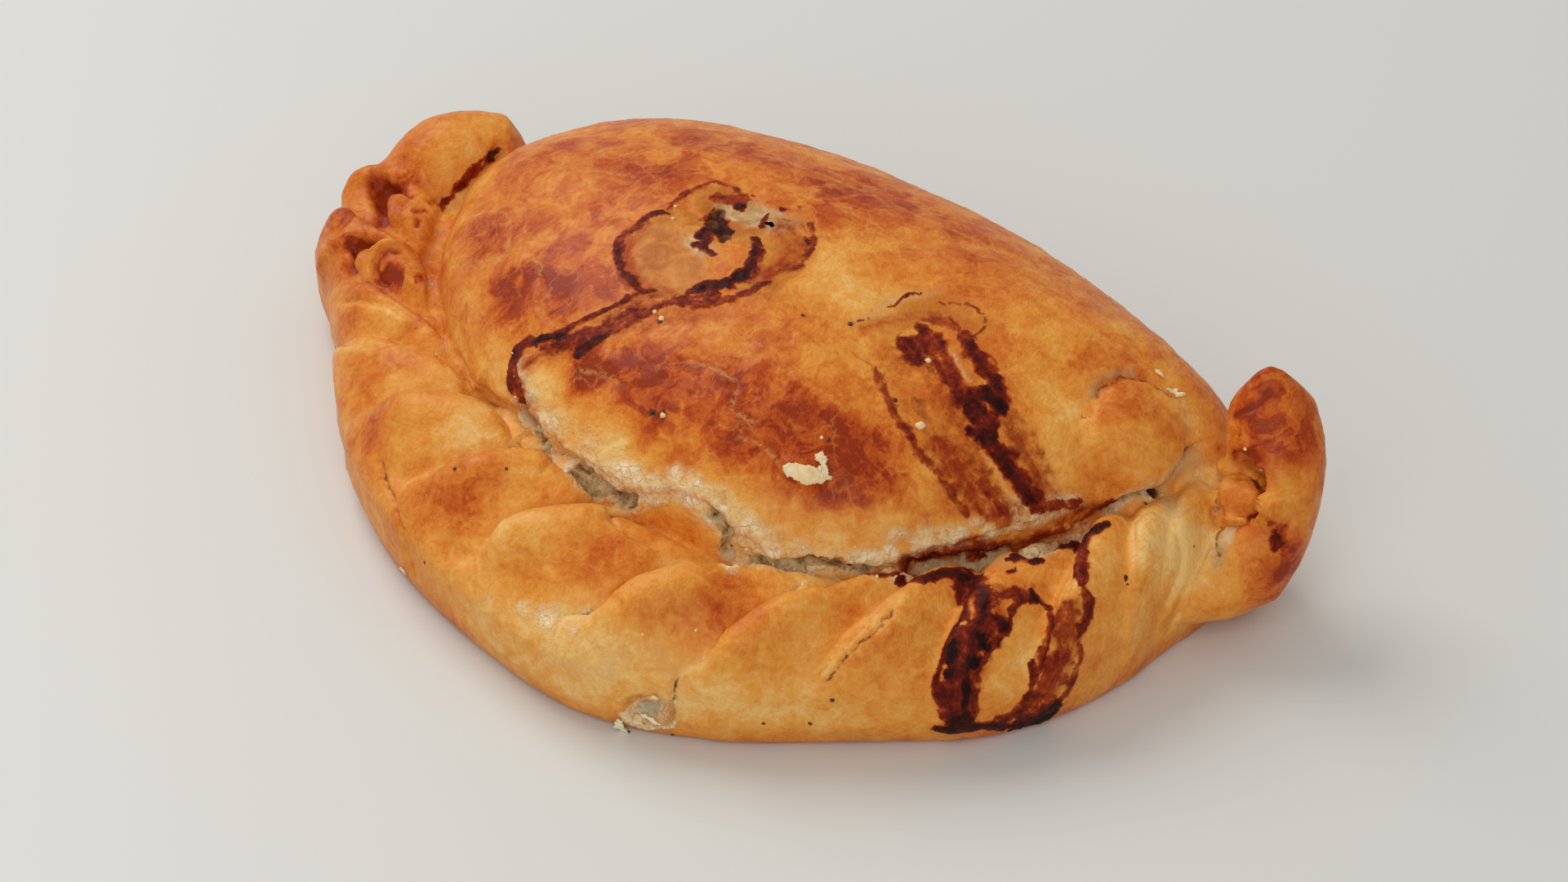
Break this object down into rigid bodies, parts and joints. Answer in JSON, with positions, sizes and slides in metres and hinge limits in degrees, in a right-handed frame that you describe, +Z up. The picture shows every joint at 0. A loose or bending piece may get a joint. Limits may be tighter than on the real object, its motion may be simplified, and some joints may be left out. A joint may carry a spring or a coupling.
{
  "type": "cornish pasty",
  "caption": "Large baked half-moon pasty: domed glazed lid, thick rope crimp along the curved side, a stood-up tongue at one end and a curled ear at the other.",
  "frame": {"origin": "middle of the underside, on the surface that the pasty rests on", "axes": "+X along the pasty towards the curled ear, -Y towards the crimped side, +Z up"},
  "size_m": [0.2106, 0.1332, 0.0517],
  "materials": {
    "crust": "golden-brown shortcrust with an egg-wash gloss, dark gravy stains and pale dry cracks",
    "filling": "wet, translucent cooked onion"
  },
  "bodies": {
    "root": {"crust": "crust", "filling_piece": "filling"}
  },
  "joints": []
}
